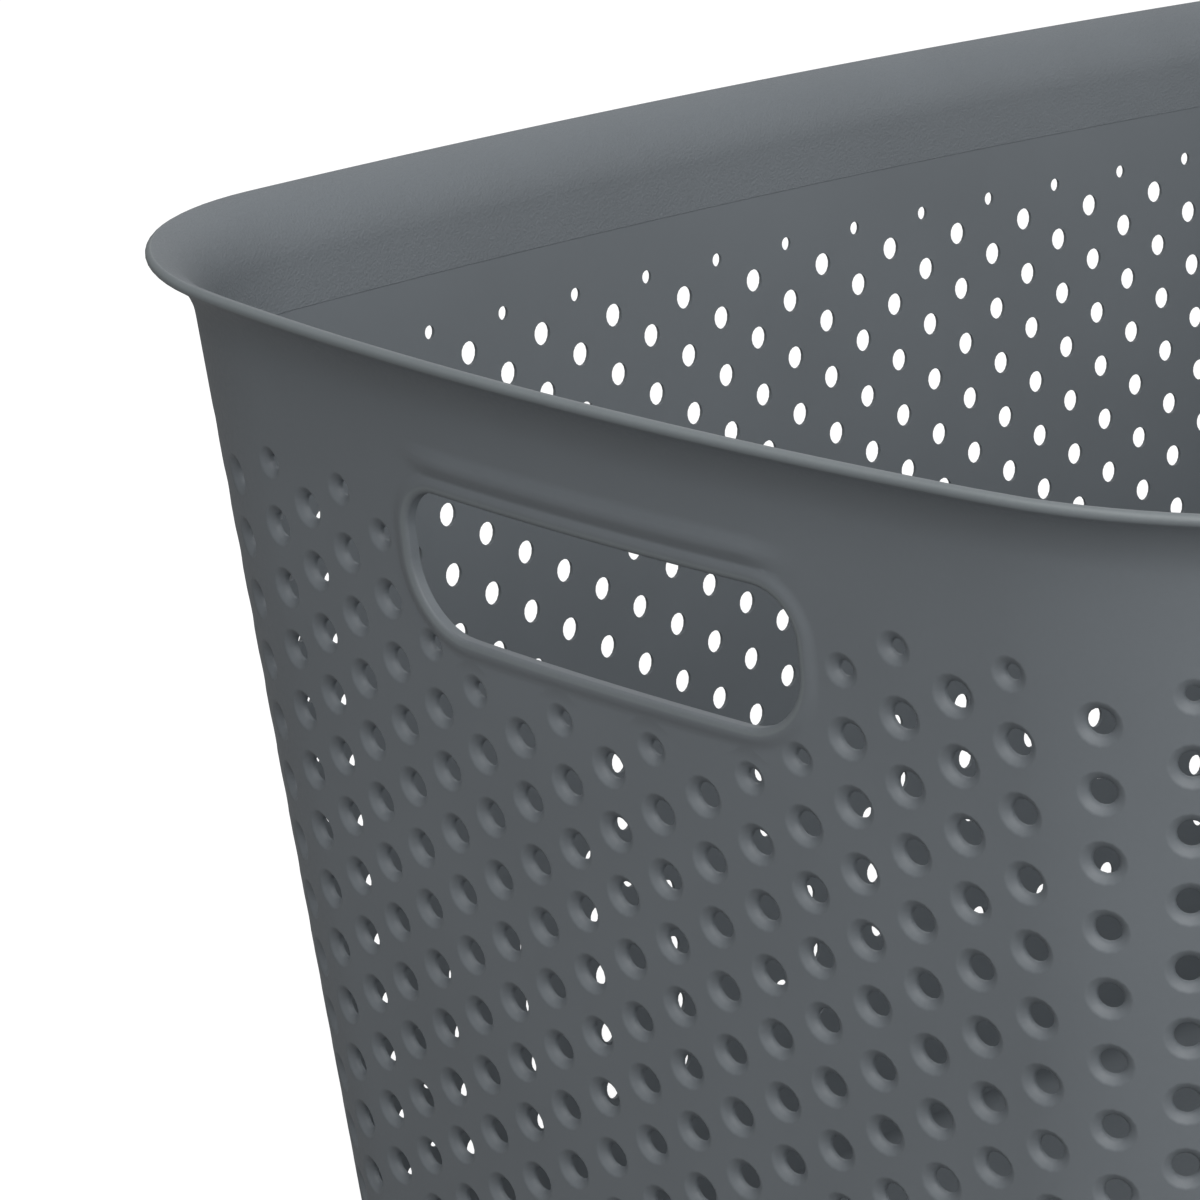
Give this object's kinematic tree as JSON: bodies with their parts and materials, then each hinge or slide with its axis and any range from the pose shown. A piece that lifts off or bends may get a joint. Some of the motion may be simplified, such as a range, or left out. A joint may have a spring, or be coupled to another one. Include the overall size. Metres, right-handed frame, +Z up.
{
  "type": "perforated storage basket",
  "caption": "Open rectangular storage basket with bowed, tapered walls pierced by funnel-shaped holes, a flared rim and a grip slot in each end.",
  "frame": {"origin": "on the ground under the middle of the basket", "axes": "+X along the length, towards the right end wall; +Y across, towards the back wall; +Z up"},
  "size_m": [0.4, 0.286, 0.225],
  "materials": {
    "moulding": "slate grey polypropylene, satin walls and a fine grained band inside the rim"
  },
  "bodies": {
    "root": {"floor_panel": "moulding", "end_wall_left": "moulding", "handle_panel_left": "moulding", "end_wall_right": "moulding", "handle_panel_right": "moulding", "side_wall_back": "moulding", "side_wall_front": "moulding", "corner_back_left_end": "moulding", "corner_back_left_side": "moulding", "corner_back_right_end": "moulding", "corner_back_right_side": "moulding", "corner_front_right_end": "moulding", "corner_front_right_side": "moulding", "corner_front_left_end": "moulding", "corner_front_left_side": "moulding", "rim_left": "moulding", "rim_right": "moulding", "rim_back": "moulding", "rim_front": "moulding", "rim_corner_back_left_end": "moulding", "rim_corner_back_left_side": "moulding", "rim_corner_back_right_end": "moulding", "rim_corner_back_right_side": "moulding", "rim_corner_front_right_end": "moulding", "rim_corner_front_right_side": "moulding", "rim_corner_front_left_end": "moulding", "rim_corner_front_left_side": "moulding"}
  },
  "joints": []
}
